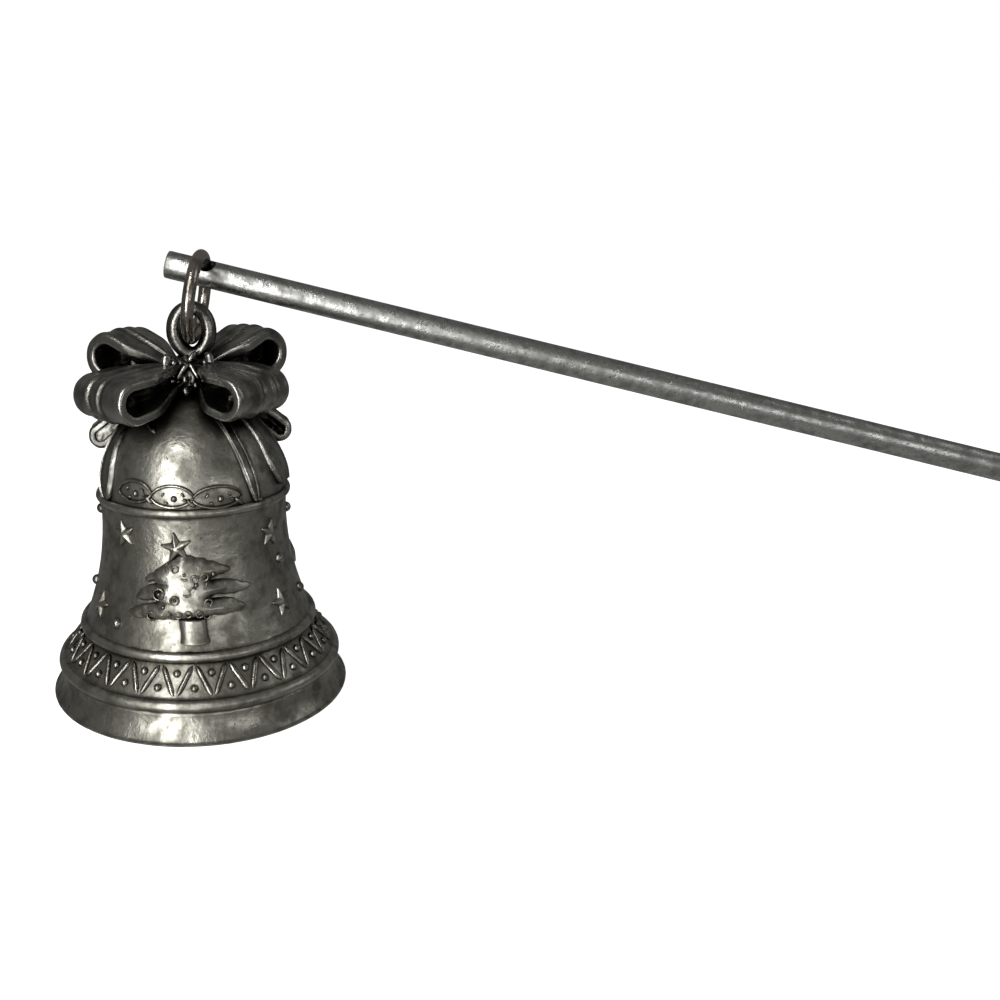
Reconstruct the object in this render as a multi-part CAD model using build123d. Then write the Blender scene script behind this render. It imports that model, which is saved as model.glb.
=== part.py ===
from build123d import *
import math
import os

# Bell: radii from the axis and heights above the table, in millimetres
rim_radius = 18.0
rim_width = 2.8
mouth_depth = 4.0
skirt_mid_inset = 1.0
skirt_mid_share = 0.444
skirt_top_inset = 1.35
lip_inset = 0.84
lip_height = 4.1
lip_bead_radius = 0.72
shoulder_radius = 14.3
shoulder_height = 8.6
shoulder_bead_radius = 0.6
flare_mid_radius = 11.75
waist_radius = 10.97
# Heights on the flare, as shares of the way from the shoulder bead to the collar bead
flare_mid_share = 0.386
waist_share = 0.745
collar_radius = 11.45
collar_height = 24.2
collar_bead_radius = 0.5
dome_radius = 10.9
wall = 1.7
# How far a bead's centre circle lies from the plain wall behind it, as a share of the bead's radius
bead_sink_share = 0.25

# Ornament standing proud of the bell
zigzag_count = 24
zigzag_turn_deg = 4.0
zigzag_wire_radius = 0.28
zigzag_margin = 0.35
dot_radius = 0.42
dot_rise_shares = (0.3, 0.7)
relief_height = 0.55
tree_count = 2
tree_turn_deg = -6.0
tree_foot_share = 0.06
trunk_head_share = 0.235
trunk_half_width = 1.75
tree_top_share = 0.738
tree_half_width = 6.8
# The tree leans to the left: sideways per height, about one level of the flare
tree_lean_share = 0.16
tree_pivot_share = 0.3
# Each tier of boughs: its half width at the top and the bottom, and its lower edge, as shares
tier_top_shares = (0.02, 0.34, 0.36)
tier_foot_shares = (0.7, 0.94, 1.0)
tier_level_shares = (0.62, 0.36, 0.1)
topper_radius = 1.8
topper_drop = 0.3
star_radius = 1.7
star_inner_share = 0.42
# Each loose star: its turn round the axis and its height as a share of the flare
star_turns_deg = (-46.0, 49.5, -64.0, 49.5, 98.0, 134.0, 229.5, 116.0, 229.5)
star_level_shares = (0.834, 0.775, 0.22, 0.22, 0.42, 0.834, 0.775, 0.22, 0.22)
stud_radius = 0.62
stud_rise_share = 0.2
# Each small bead on the body: the turn round the axis and the height as a share of the flare
stud_turns_deg = (-88.0, 85.0, -86.0, -46.5, 56.5, 75.0, 133.5, 236.5, 255.0)
stud_level_shares = (0.909, 0.859, 0.308, 0.133, 0.542, 0.208, 0.133, 0.542, 0.208)
bauble_radius = 0.5
# Each bauble on the tree: sideways as a share of tree_half_width and upward as a share of the tree
bauble_side_shares = (-0.02, -0.2, 0.2, -0.3, 0.02, 0.27, -0.42, -0.18, 0.06, 0.3, 0.56)
bauble_level_shares = (0.84, 0.68, 0.7, 0.45, 0.5, 0.42, 0.18, 0.24, 0.16, 0.22, 0.17)
oval_half_width = 2.3
oval_half_height = 1.3
oval_rim = 0.38
oval_rise = 1.4
oval_relief = 0.42
oval_dot_radius = 0.5
oval_gap = 0.12
# Each oval: the middle of its group round the axis, and its place in the group in oval widths
oval_group_turns_deg = (-13.0, -13.0, -13.0, 151.5, 151.5, 151.5, 151.5)
oval_place_shares = (-1.0, 0.0, 1.0, -1.5, -0.5, 0.5, 1.5)

# Bow and its ribbon ends on the dome
knot_radius = 2.5
knot_sink = 1.0
knot_rise = 4.8
front_ribbon_thickness = 1.0
rear_ribbon_thickness = 1.3
# Each loop is a blind hollow: a web closes it half way through
web_half_thickness = 0.5
front_half_width = 4.9
rear_half_width = 3.8
ribbon_neck_half_width = 1.45
front_bend_radius = 2.35
rear_bend_radius = 2.85
loop_neck_radius = 1.5
# Reach of the left and the right loop
front_loop_reaches = (12.4, 10.7)
rear_loop_reach = 11.9
loop_neck_reach = 2.4
front_loop_drop = 1.35
rear_loop_rise = 2.1
neck_rise = 0.1
# Turns of the left and the right loop
front_loop_turns_deg = (-55.0, 51.0)
rear_loop_turns_deg = (-125.0, 125.0)
side_loop_turns_deg = (-99.0, 99.0)
side_loop_half_width = 1.9
side_loop_bend_radius = 1.35
side_loop_neck_radius = 0.95
side_loop_thickness = 0.6
side_loop_stand = 0.75
# Where a small loop lies on the dome, as shares of the dome's radius
side_loop_rise_share = 0.569
side_neck_reach_share = 0.587
side_neck_rise_share = 0.862
tail_thickness = 0.6
tail_start_share = 0.514
tail_foot_rise = 0.05
# Each ribbon end on the dome: its turn, its half width at the top and its half width at the foot
tail_turns_deg = (-68.0, 34.0, 68.0, 215.0)
tail_top_half_widths = (1.2, 0.75, 1.7, 1.5)
tail_foot_half_widths = (1.9, 0.8, 2.6, 2.2)
tail_notch_shares = (0.0, 0.0, 0.6, 0.6)
notch_depth = 2.2

# Eye on the knot, loose ring in it, straight handle on the ring
eye_wire_radius = 0.85
eye_half_width = 1.95
eye_lift = 0.55
eye_height = 5.15
eye_shift = 0.55
ring_wire_radius = 0.72
ring_radius = 4.6
ring_split = 0.12
ring_split_turn_deg = 115.0
ring_gap = 0.2
handle_radius = 1.575
handle_length = 200.0
handle_edge = 0.2
hole_radius = 1.12
hole_to_tip = 4.6
# The hole leans from upright toward the front; the ring is swivelled a little on it
hole_lean_deg = 34.0
ring_swivel_deg = -1.5
ring_cock_deg = 5.0
# The bell's face is turned round its axis against the handle's vertical plane
face_turn_deg = 10.5
slope_rounds = 30

os.makedirs("parts", exist_ok=True)


def save(name, shape):
    shape.label = name
    export_step(shape, "parts/" + name + ".step")


def turned(shape, degrees):
    return Rot(0, 0, degrees) * shape


def many(shapes):
    solids = []
    for shape in shapes:
        solids.extend(shape.solids())
    return Compound(solids)


def trimmed(shape, *cutters):
    # What is left of one piece outside its neighbours: the largest solid
    for cutter in cutters:
        left = shape - cutter
        shape = max(left if isinstance(left, list) else left.solids(), key=lambda solid: solid.volume)
    return shape


def spun(lines):
    drawn = Plane.XZ * (Curve() + lines)
    return revolve(make_face(drawn.edges()), Axis.Z)


# Bell shell: one revolved casting with its skirt, three beads, waist and dome
mouth_radius = rim_radius - rim_width
skirt_mid_radius = rim_radius - skirt_mid_inset
skirt_top_radius = rim_radius - skirt_top_inset
lip_radius = rim_radius - lip_inset
lip_centre = lip_radius - lip_bead_radius
shoulder_centre = shoulder_radius - shoulder_bead_radius
collar_centre = collar_radius - collar_bead_radius
lip_under = lip_height - lip_bead_radius
lip_over = lip_height + lip_bead_radius
skirt_mid_height = lip_under * skirt_mid_share
shoulder_over = shoulder_height + shoulder_bead_radius
collar_over = collar_height + collar_bead_radius
band_foot = (lip_centre - lip_bead_radius * bead_sink_share, lip_over)
band_head = (shoulder_centre, shoulder_height - shoulder_bead_radius)
flare_foot = (shoulder_centre - shoulder_bead_radius * bead_sink_share, shoulder_over)
flare_head = (collar_centre, collar_height - collar_bead_radius)


def on_flare(share):
    return flare_foot[1] + (flare_head[1] - flare_foot[1]) * share


flare_mid = (flare_mid_radius, on_flare(flare_mid_share))
waist = (waist_radius, on_flare(waist_share))
dome_foot = (dome_radius, collar_over)
dome_height = dome_foot[1] + dome_radius


def flare_curve(grow=0.0):
    stations = [flare_foot, flare_mid, waist, flare_head]
    return Spline(*[(r + grow, z) for r, z in stations])


def dome_curve(grow=0.0):
    return CenterArc((0, dome_foot[1]), dome_radius + grow, 0, 90)


outer = [
    ThreePointArc((rim_radius, 0), (skirt_mid_radius, skirt_mid_height), (skirt_top_radius, lip_under)),
    Line((skirt_top_radius, lip_under), (lip_centre, lip_under)),
    ThreePointArc((lip_centre, lip_under), (lip_radius, lip_height), (lip_centre, lip_over)),
    Line((lip_centre, lip_over), band_foot),
    Line(band_foot, band_head),
    ThreePointArc(band_head, (shoulder_radius, shoulder_height), (shoulder_centre, shoulder_over)),
    Line((shoulder_centre, shoulder_over), flare_foot),
    flare_curve(),
    ThreePointArc(flare_head, (collar_radius, collar_height), (collar_centre, collar_over)),
    Line((collar_centre, collar_over), dome_foot),
    dome_curve(),
]
inner_top = dome_height - wall
throat = (band_head[0] - wall, band_head[1])
inner = [
    Line((0, dome_height), (0, inner_top)),
    CenterArc((0, dome_foot[1]), dome_radius - wall, 0, 90),
    Line((dome_radius - wall, dome_foot[1]), (waist_radius - wall, waist[1])),
    Spline((waist_radius - wall, waist[1]), (flare_mid_radius - wall, flare_mid[1]), throat),
    Line(throat, (mouth_radius, mouth_depth)),
    Line((mouth_radius, mouth_depth), (mouth_radius, 0)),
    Line((mouth_radius, 0), (rim_radius, 0)),
]
bell_shell = spun(outer + inner)
# The same outline filled in, which other pieces are trimmed against
bell_block = spun(outer + [Line((0, dome_height), (0, 0)), Line((0, 0), (rim_radius, 0))])


def layer(curve_of, grow):
    # The skin of a given thickness just outside a stretch of the bell's outline
    near, far = curve_of(), curve_of(grow)
    return spun([near, far, Line(near @ 0, far @ 0), Line(near @ 1, far @ 1)])


def pressed(outline, skin):
    # An outline drawn on the front view, carried back onto one side of a skin
    return extrude(Plane.XZ * outline, rim_radius) & skin


def star_outline(radius):
    spikes = 5
    corners = []
    for k in range(2 * spikes):
        reach = radius if k % 2 == 0 else radius * star_inner_share
        angle = math.pi * k / spikes
        corners.append((reach * math.sin(angle), reach * math.cos(angle)))
    return make_face(Polyline(*corners, close=True))


def flare_radius(height):
    # The outline's radius at one height, read off the drawn curve
    curve = flare_curve()
    low, high = 0.0, 1.0
    for _ in range(slope_rounds):
        mid = (low + high) / 2
        if (curve @ mid).Y < height:
            low = mid
        else:
            high = mid
    return (curve @ ((low + high) / 2)).X


# Zigzag band between the lip and the shoulder, with a dot in every triangle
band_run = (band_head[0] - band_foot[0], band_head[1] - band_foot[1])
band_length = math.hypot(*band_run)
half_pitch_deg = 180.0 / zigzag_count


def on_band(share, degrees):
    radius = band_foot[0] + band_run[0] * share
    turn = math.radians(degrees)
    return Vector(radius * math.sin(turn), -radius * math.cos(turn), band_foot[1] + band_run[1] * share)


def rod_between(start, end, radius):
    return Solid.make_cylinder(radius, (end - start).length, Plane(start, z_dir=end - start))


edge_share = zigzag_margin / band_length
end_turn_deg = half_pitch_deg * edge_share
bars = []
for lean in (1, -1):
    start = on_band(edge_share, lean * -(half_pitch_deg / 2 - end_turn_deg))
    end = on_band(1 - edge_share, lean * (half_pitch_deg / 2 - end_turn_deg))
    bar = trimmed(rod_between(start, end, zigzag_wire_radius), bell_block)
    bar = turned(bar, lean * half_pitch_deg / 2)
    bars.extend(turned(bar, 2 * half_pitch_deg * k + zigzag_turn_deg) for k in range(zigzag_count))
zigzag_bars = many(bars)

dots = []
for share, shift in zip(dot_rise_shares, (0, 1)):
    dot = trimmed(Pos(*on_band(share, 0)) * Sphere(dot_radius), bell_block)
    first_deg = half_pitch_deg * (1 - shift) + zigzag_turn_deg
    dots.extend(turned(dot, 2 * half_pitch_deg * k + first_deg) for k in range(zigzag_count))
zigzag_dots = many(dots)

# Fir trees with trunk, star and baubles, repeated round the flare
relief_skin = layer(flare_curve, relief_height)
tree_foot_height = on_flare(tree_foot_share)
trunk_height = on_flare(trunk_head_share)
tree_top_height = on_flare(tree_top_share)
tree_span = tree_top_height - trunk_height
tree_pivot_height = on_flare(tree_pivot_share)


def leaned(x, z):
    return (x - tree_lean_share * (z - tree_pivot_height), z)


tiers = []
upper = tree_top_height
for top_share, foot_share, level in zip(tier_top_shares, tier_foot_shares, tier_level_shares):
    foot = trunk_height + tree_span * level
    tiers.append((tree_half_width * top_share, upper, tree_half_width * foot_share, foot))
    upper = foot
right_side = []
for top_half, top_z, foot_half, foot_z in tiers:
    right_side += [(top_half, top_z), (foot_half, foot_z)]
right_side.append((trunk_half_width, trunk_height))
left_side = [(-x, z) for x, z in reversed(right_side)]
bough_face = make_face(Polyline(*[leaned(x, z) for x, z in right_side + left_side], close=True))
trunk_corners = [(trunk_half_width, trunk_height), (trunk_half_width, tree_foot_height)]
trunk_corners += [(-x, z) for x, z in reversed(trunk_corners)]
trunk_face = make_face(Polyline(*[leaned(x, z) for x, z in trunk_corners], close=True))
boughs = pressed(bough_face, relief_skin)
trunk = pressed(trunk_face, relief_skin)
tree_turns = [tree_turn_deg + 360.0 * k / tree_count for k in range(tree_count)]
tree_boughs = many(turned(boughs, t) for t in tree_turns)
tree_trunks = many(turned(trunk, t) for t in tree_turns)
topper_height = tree_top_height - topper_drop + topper_radius * star_inner_share
topper = Pos(*leaned(0, topper_height)) * star_outline(topper_radius)
topper = trimmed(pressed(topper, relief_skin), boughs)
tree_toppers = many(turned(topper, t) for t in tree_turns)
baubles = []
for side, level in zip(bauble_side_shares, bauble_level_shares):
    z = trunk_height + tree_span * level
    x = leaned(tree_half_width * side, z)[0]
    reach = flare_radius(z) + relief_height
    bauble = Pos(x, -math.sqrt(reach ** 2 - x ** 2), z) * Sphere(bauble_radius)
    bauble = trimmed(bauble, boughs, bell_block)
    baubles.extend(turned(bauble, t) for t in tree_turns)
tree_baubles = many(baubles)

# Loose stars and beads between the trees
loose_stars = []
for turn, level in zip(star_turns_deg, star_level_shares):
    star = pressed(Pos(0, on_flare(level)) * star_outline(star_radius), relief_skin)
    loose_stars.append(turned(star, turn))
star_studs = many(loose_stars)
studs = []
for turn, level in zip(stud_turns_deg, stud_level_shares):
    z = on_flare(level)
    stud = Pos(0, -flare_radius(z) - stud_radius * stud_rise_share, z) * Sphere(stud_radius)
    studs.append(turned(trimmed(stud, bell_block), turn))
bead_studs = many(studs)

# Ribbon ends lying on the dome, some with a notched foot
tail_start = dome_radius * tail_start_share
tail_end = dome_radius + 2 * tail_thickness
tail_foot_height = dome_foot[1] + tail_foot_rise
tail_skin = layer(dome_curve, tail_thickness)
upward = (Align.CENTER, Align.CENTER, Align.MIN)
above_foot = Pos(0, 0, tail_foot_height) * Cylinder(rim_radius, dome_height, align=upward)
tail_skin = tail_skin & above_foot
tails = []
tail_values = zip(tail_turns_deg, tail_top_half_widths, tail_foot_half_widths, tail_notch_shares)
for turn, top_half, foot_half, notch in tail_values:
    plan = make_face(Polyline(
        (-top_half, -tail_start), (top_half, -tail_start),
        (foot_half, -tail_end), (-foot_half, -tail_end), close=True))
    tail = extrude(plan, dome_height) & tail_skin
    if notch > 0:
        cut = make_face(Polyline(
            (-foot_half * notch, tail_foot_height), (0, tail_foot_height + notch_depth),
            (foot_half * notch, tail_foot_height), close=True))
        tail = tail - extrude(Plane.XZ * cut, rim_radius)
    tails.append(turned(tail, turn))

# Pointed ovals round the foot of the dome, a dot in each
oval_skin = layer(dome_curve, oval_relief)


def oval_outline(half_width, half_height):
    arcs = [ThreePointArc((-half_width, 0), (0, way * half_height), (half_width, 0)) for way in (1, -1)]
    return make_face([edge for arc in arcs for edge in arc.edges()])


oval_ring = oval_outline(oval_half_width, oval_half_height)
oval_ring = oval_ring - oval_outline(oval_half_width - 2 * oval_rim, oval_half_height - oval_rim)
oval_height = dome_foot[1] + oval_rise
oval_reach = math.sqrt(dome_radius ** 2 - oval_rise ** 2)
oval_pitch_deg = math.degrees((2 * oval_half_width + oval_gap) / oval_reach)
oval_turns = [turn + oval_pitch_deg * place for turn, place in zip(oval_group_turns_deg, oval_place_shares)]
oval = pressed(Pos(0, oval_height) * oval_ring, oval_skin)
dome_ovals = many(trimmed(turned(oval, t), *tails) for t in oval_turns)
oval_dot = trimmed(Pos(0, -oval_reach, oval_height) * Sphere(oval_dot_radius), bell_block)
dome_dots = many(turned(oval_dot, t) for t in oval_turns)

# Knot on top of the dome
knot_foot_height = dome_height - knot_sink
knot_top_height = dome_height + knot_rise
knot_mid = (knot_foot_height + knot_top_height) / 2
knot_half = (knot_top_height - knot_foot_height) / 2
bow_knot = spun([
    EllipticalCenterArc((0, knot_mid), knot_radius, knot_half, start_angle=-90, arc_size=180),
    Line((0, knot_foot_height), (0, knot_top_height))])
bow_knot = trimmed(bow_knot, bell_block)


def ribbon_loop(bend_at, bend_radius, neck_at, neck_radius, half_width, neck_half_width, thickness):
    # A ribbon bent back on itself, seen from its edge, drawn out sideways and gathered toward the knot
    def drop(shrink):
        ends = ((bend_at, bend_radius), (neck_at, neck_radius))
        circles = [Pos(*centre) * Circle(radius - shrink) for centre, radius in ends]
        return make_hull([edge for circle in circles for edge in circle.edges()])
    side = drop(0.0) - drop(thickness)
    body = extrude(Plane.YZ * side, half_width, both=True)
    body = body + extrude(Plane.YZ * drop(thickness / 2), web_half_thickness, both=True)
    full_at = bend_at[0] - bend_radius
    tip = bend_at[0] + bend_radius
    right_edge = [(neck_half_width, 0), (neck_half_width, neck_at[0])]
    right_edge += [(half_width, full_at), (half_width, tip)]
    left_edge = [(-x, y) for x, y in reversed(right_edge)]
    plan = make_face(Polyline(*right_edge, *left_edge, close=True))
    # The loop is drawn toward the back, so it is turned half way round to point to the front
    return turned(body & extrude(plan, 2 * dome_height), 180)


# Four large bow loops crossing at the knot, two small ones drooping at the sides
loop_neck = (loop_neck_reach, knot_mid + neck_rise)
front_loops = []
for reach in front_loop_reaches:
    front_bend = (reach - front_bend_radius, knot_mid - front_loop_drop)
    front_loops.append(ribbon_loop(front_bend, front_bend_radius, loop_neck, loop_neck_radius,
                                   front_half_width, ribbon_neck_half_width, front_ribbon_thickness))
rear_bend = (rear_loop_reach - rear_bend_radius, knot_mid + rear_loop_rise)
rear_loop = ribbon_loop(rear_bend, rear_bend_radius, loop_neck, loop_neck_radius,
                        rear_half_width, ribbon_neck_half_width, rear_ribbon_thickness)
side_bend = (dome_radius + side_loop_stand - side_loop_bend_radius,
             dome_foot[1] + dome_radius * side_loop_rise_share)
side_neck = (dome_radius * side_neck_reach_share, dome_foot[1] + dome_radius * side_neck_rise_share)
side_loop = ribbon_loop(side_bend, side_loop_bend_radius, side_neck, side_loop_neck_radius,
                        side_loop_half_width, side_loop_half_width, side_loop_thickness)
loops = {}
for k, side in enumerate(("left", "right")):
    loops["bow_loop_front_" + side] = turned(front_loops[k], front_loop_turns_deg[k])
    loops["bow_loop_rear_" + side] = turned(rear_loop, rear_loop_turns_deg[k])
    loops["bow_side_loop_" + side] = turned(side_loop, side_loop_turns_deg[k])
for name in loops:
    loops[name] = trimmed(loops[name], bow_knot, bell_block, *tails)
for side in ("left", "right"):
    front = loops["bow_loop_front_" + side]
    for other in ("bow_loop_rear_", "bow_side_loop_"):
        loops[other + side] = trimmed(loops[other + side], front)

# Hanging eye: round wire bent into an upright closed loop, its foot set in the knot
eye_opening_foot = knot_top_height + eye_lift
eye_top_height = eye_opening_foot + eye_height
eye_shoulder = eye_top_height - eye_wire_radius - eye_half_width
eye_foot = eye_opening_foot - eye_wire_radius
eye_hip = eye_foot + eye_half_width
eye_crown = eye_shoulder + eye_half_width
eye_path = Plane.XZ * (Curve() + [
    Line((-eye_half_width, eye_hip), (-eye_half_width, eye_shoulder)),
    ThreePointArc((-eye_half_width, eye_shoulder), (0, eye_crown), (eye_half_width, eye_shoulder)),
    Line((eye_half_width, eye_shoulder), (eye_half_width, eye_hip)),
    ThreePointArc((eye_half_width, eye_hip), (0, eye_foot), (-eye_half_width, eye_hip))])
eye_start = Plane((-eye_half_width, 0, eye_hip), z_dir=(0, 0, 1))
hanging_eye = Pos(eye_shift, 0, 0) * sweep(eye_start * Circle(eye_wire_radius), path=eye_path.wire())
hanging_eye = trimmed(hanging_eye, bow_knot)

# Ring and handle: the handle leans from the ring to the table, at a slope set by its length
swivel = math.radians(ring_swivel_deg)
lean = math.radians(hole_lean_deg)
cock = math.radians(ring_cock_deg)
hole_to_far = handle_length - hole_to_tip
# The ring's curve is balanced inside the straight hole
hole_offset = (ring_radius + math.sqrt(ring_radius ** 2 - handle_radius ** 2)) / 2
ring_low_point = Vector(eye_shift, 0, eye_opening_foot + ring_gap + ring_wire_radius)
ring_low_point = ring_low_point.rotate(Axis.Z, face_turn_deg)
slope = 0.0
for _ in range(slope_rounds):
    along = Vector(math.cos(slope), 0, -math.sin(slope))
    upright = Vector(math.sin(slope), 0, math.cos(slope))
    across = Vector(0, 1, 0)
    hole_axis = upright * math.cos(lean) - across * math.sin(lean)
    inward = (upright * math.sin(lean) + across * math.cos(lean)) * -math.cos(swivel)
    inward = inward - along * math.sin(swivel)
    # The ring hangs a little cocked in its hole, nearer to upright than the handle's square
    ring_axis = hole_axis.cross(inward) * math.cos(cock) + hole_axis * math.sin(cock)
    ring_axis = ring_axis.normalized()
    down = Vector(0, 0, -1)
    low_way = (down - ring_axis * down.dot(ring_axis)).normalized()
    ring_centre = ring_low_point - low_way * ring_radius
    hole_centre = ring_centre - inward * hole_offset
    slope = math.asin((hole_centre.Z - handle_radius * math.cos(slope)) / hole_to_far)

ring_plane = Plane(ring_centre, x_dir=low_way, z_dir=ring_axis)
split_deg = math.degrees(ring_split / ring_radius)
ring_section = Plane.XZ * Pos(ring_radius, 0) * Circle(ring_wire_radius)
jump_ring = revolve(ring_section, Axis.Z, revolution_arc=360 - split_deg)
jump_ring = ring_plane * turned(jump_ring, ring_split_turn_deg)

tip_centre = hole_centre - along * hole_to_tip
handle_plane = Plane(tip_centre, x_dir=across, z_dir=along)
handle_rod = Cylinder(handle_radius, handle_length, align=upward)
handle_rod = chamfer(handle_rod.edges().filter_by(GeomType.CIRCLE), handle_edge)
handle_rod = handle_plane * handle_rod
hole_plane = Plane(hole_centre - hole_axis * (2 * handle_radius), z_dir=hole_axis)
cross_hole = Solid.make_cylinder(hole_radius, 4 * handle_radius, hole_plane)
handle_rod = handle_rod - cross_hole

# Write every piece; those of the bell are turned to face as the photograph shows
bell_pieces = {
    "bell_shell": bell_shell,
    "zigzag_bars": zigzag_bars,
    "zigzag_dots": zigzag_dots,
    "tree_boughs": tree_boughs,
    "tree_trunks": tree_trunks,
    "tree_toppers": tree_toppers,
    "tree_baubles": tree_baubles,
    "star_studs": star_studs,
    "bead_studs": bead_studs,
    "dome_ovals": dome_ovals,
    "dome_dots": dome_dots,
    "ribbon_tail_front_left": tails[0],
    "ribbon_tail_front_right": tails[1],
    "ribbon_tail_side_right": tails[2],
    "ribbon_tail_rear": tails[3],
    "bow_knot": bow_knot,
    "hanging_eye": hanging_eye,
    **loops,
}
for name, piece in bell_pieces.items():
    save(name, turned(piece, face_turn_deg))
save("jump_ring", jump_ring)
save("handle_rod", handle_rod)
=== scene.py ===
from math import acos, asin, atan2, cos, exp, hypot, pi, radians, sin, sqrt
import bmesh
import bpy
from mathutils import Matrix, Vector, noise
from mathutils.bvhtree import BVHTree


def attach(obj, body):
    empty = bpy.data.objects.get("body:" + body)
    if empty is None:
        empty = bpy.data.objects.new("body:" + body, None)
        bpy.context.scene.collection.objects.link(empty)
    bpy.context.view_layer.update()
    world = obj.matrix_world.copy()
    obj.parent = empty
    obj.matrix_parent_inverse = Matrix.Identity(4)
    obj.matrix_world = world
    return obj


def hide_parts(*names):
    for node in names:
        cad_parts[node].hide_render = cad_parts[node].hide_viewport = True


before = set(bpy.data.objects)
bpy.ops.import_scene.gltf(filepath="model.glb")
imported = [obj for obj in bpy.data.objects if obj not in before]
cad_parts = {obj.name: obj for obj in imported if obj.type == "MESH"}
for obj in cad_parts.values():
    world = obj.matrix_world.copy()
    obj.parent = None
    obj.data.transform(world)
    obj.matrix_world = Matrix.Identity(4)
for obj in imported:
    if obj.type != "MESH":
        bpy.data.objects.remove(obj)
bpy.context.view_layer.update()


# Bell: a hollow pewter casting with flared skirt, lip, shoulder bead, waist, collar and round dome.
# It is cast round a core and turned true, then blackened all over and rubbed bright where a cloth
# reaches, so the black patina stays in the grooves, darkened further there as painted shade.
# Sizes are millimetres in the bell's own facing.
bell_place = Matrix.Rotation(radians(10.5), 4, "Z") @ Matrix.Scale(0.001, 4)
dome_middle, dome_round = Vector((0, 0, 24.7)), 10.9
cad_bell = BVHTree.FromObject(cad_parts["bell_shell"], bpy.context.evaluated_depsgraph_get())


def wall_on_solid(level):
    reach = 0.0
    for spoke in range(8):
        way = Vector((cos(spoke + 0.3), sin(spoke + 0.3), 0.0))
        hit = cad_bell.ray_cast(way * 0.06 + Vector((0, 0, level * 0.001)), -way)[0]
        reach = max(reach, hypot(hit.x, hit.y) * 1000)
    return reach


wall_foot, wall_step = 0.3, 0.1
wall_reaches = [wall_on_solid(wall_foot + wall_step * k) for k in range(240)]


def wall(level):
    place = min(max((level - wall_foot) / wall_step, 0.0), len(wall_reaches) - 1.001)
    k = int(place)
    return wall_reaches[k] + (wall_reaches[k + 1] - wall_reaches[k]) * (place - k)


def bead(middle, level, thickness, start, end, steps=14):
    turns = [radians(start + (end - start) * k / steps) for k in range(steps + 1)]
    return [(middle + thickness * cos(t), level + thickness * sin(t)) for t in turns]


def spin(outline, steps):
    points, faces = [], []
    for k in range(steps):
        turn = 2 * pi * k / steps
        points += [(r * sin(turn), -r * cos(turn), z) for r, z in outline]
    count = len(outline)
    for k in range(steps):
        here, there = k * count, (k + 1) % steps * count
        faces += [(here + j, there + j, there + j + 1, here + j + 1) for j in range(count - 1)]
    return points, faces


def rubbed_metal_with_painted_shade(name, bright, black, rough, cloud, grain, pit_share, hollow):
    """Blackened metal rubbed bright, cloudy on open ground, finely grained, black in pits; hollows are
    darkened as black patina and as painted shade.
    """
    finish = bpy.data.materials.new(name)
    finish.use_nodes = True
    nodes, links = finish.node_tree.nodes, finish.node_tree.links

    def add(kind, feeds, **settings):
        made = nodes.new(kind)
        for key, value in settings.items():
            setattr(made, key, value)
        for key, value in feeds.items():
            if isinstance(value, bpy.types.NodeSocket):
                links.new(value, made.inputs[key])
            else:
                made.inputs[key].default_value = value
        return made

    def graded(value, low, high, to_low, to_high):
        feeds = {"Value": value, "From Min": low, "From Max": high, "To Min": to_low, "To Max": to_high}
        return add("ShaderNodeMapRange", feeds, interpolation_type="SMOOTHSTEP").outputs[0]

    def times(one, other):
        return add("ShaderNodeMath", {0: one, 1: other}, operation="MULTIPLY").outputs[0]

    def speckle(size, detail):
        feeds = {"Vector": where, "Scale": 1000 / size, "Detail": detail, "Roughness": 0.6}
        return add("ShaderNodeTexNoise", feeds).outputs[0]

    where = add("ShaderNodeTexCoord", {}).outputs["Object"]
    clouds, grit = speckle(cloud, 5.0), speckle(grain, 3.0)
    pores, uneven = speckle(3 * grain, 1.5), speckle(1.1, 2.5)
    pits = graded(pores, 0.8 - pit_share, 0.86 - pit_share, 0.0, 1.0)
    # Ambient occlusion over the hollow reach darkens the colour in hollows and under overhangs: partly
    # the black patina kept there, partly painted shade.
    patina_and_shade = add("ShaderNodeAmbientOcclusion", {"Distance": hollow * 0.001}, samples=8).outputs["AO"]
    edges = graded(add("ShaderNodeNewGeometry", {}).outputs["Pointiness"], 0.46, 0.55, 0.62, 1.0)
    rub_and_shade = times(graded(patina_and_shade, 0.35, 0.96, 0.0, 1.0), edges)
    rub_and_shade = times(rub_and_shade, graded(clouds, 0.34, 0.62, 0.32, 1.0))
    rub_and_shade = times(rub_and_shade, graded(pits, 0.0, 1.0, 1.0, 0.25))
    shades = {0: rub_and_shade, 6: (*black, 1.0), 7: (*bright, 1.0)}
    colour = add("ShaderNodeMix", shades, data_type="RGBA").outputs[2]
    dull = graded(clouds, 0.3, 0.7, rough + 0.13, rough - 0.07)
    ground = add("ShaderNodeMath", {0: uneven, 1: 3.6, 2: grit}, operation="MULTIPLY_ADD").outputs[0]
    relief = add("ShaderNodeMath", {0: ground, 1: pits}, operation="SUBTRACT").outputs[0]
    bump = add("ShaderNodeBump", {"Strength": 0.4, "Distance": 0.00005, "Height": relief}).outputs[0]
    metal = nodes["Principled BSDF"]
    metal.inputs["Metallic"].default_value = 1.0
    links.new(colour, metal.inputs["Base Color"])
    links.new(dull, metal.inputs["Roughness"])
    links.new(bump, metal.inputs["Normal"])
    return finish


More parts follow.
